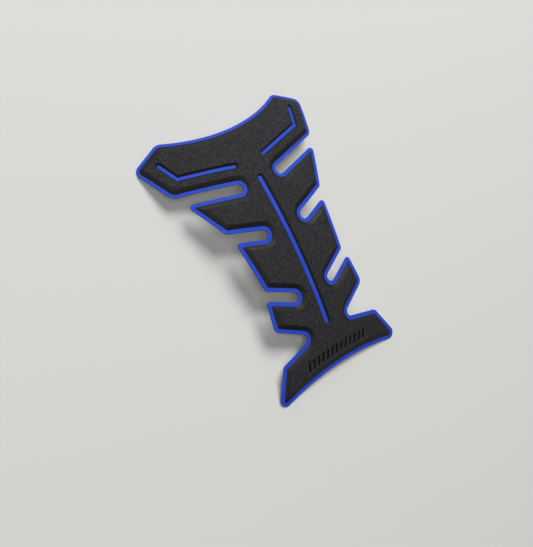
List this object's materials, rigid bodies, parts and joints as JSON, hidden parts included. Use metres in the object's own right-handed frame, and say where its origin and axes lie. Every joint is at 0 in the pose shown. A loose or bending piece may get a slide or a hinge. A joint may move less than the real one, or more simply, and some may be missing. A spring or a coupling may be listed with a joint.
{
  "type": "motorcycle tank pad",
  "caption": "Curved self-adhesive protector for the rear of a motorcycle fuel tank: black grip rubber with bevelled edges and long grooves on a blue base that shows as a rim.",
  "frame": {"origin": "centre of the bounding box, on the plane that the tips of the wings and the tail rest on", "axes": "+X across the pad to its right, +Y along its spine towards the wings and the front of the tank, +Z away from the tank"},
  "size_m": [0.1534, 0.2036, 0.0229],
  "materials": {
    "grip_rubber": "matt, fine pebbled grain",
    "blue_base": "satin, smooth",
    "adhesive": "tacky film, slightly glossy"
  },
  "bodies": {
    "root": {"grip_layer": "grip_rubber", "base_layer": "blue_base", "adhesive_film": "adhesive"}
  },
  "joints": []
}
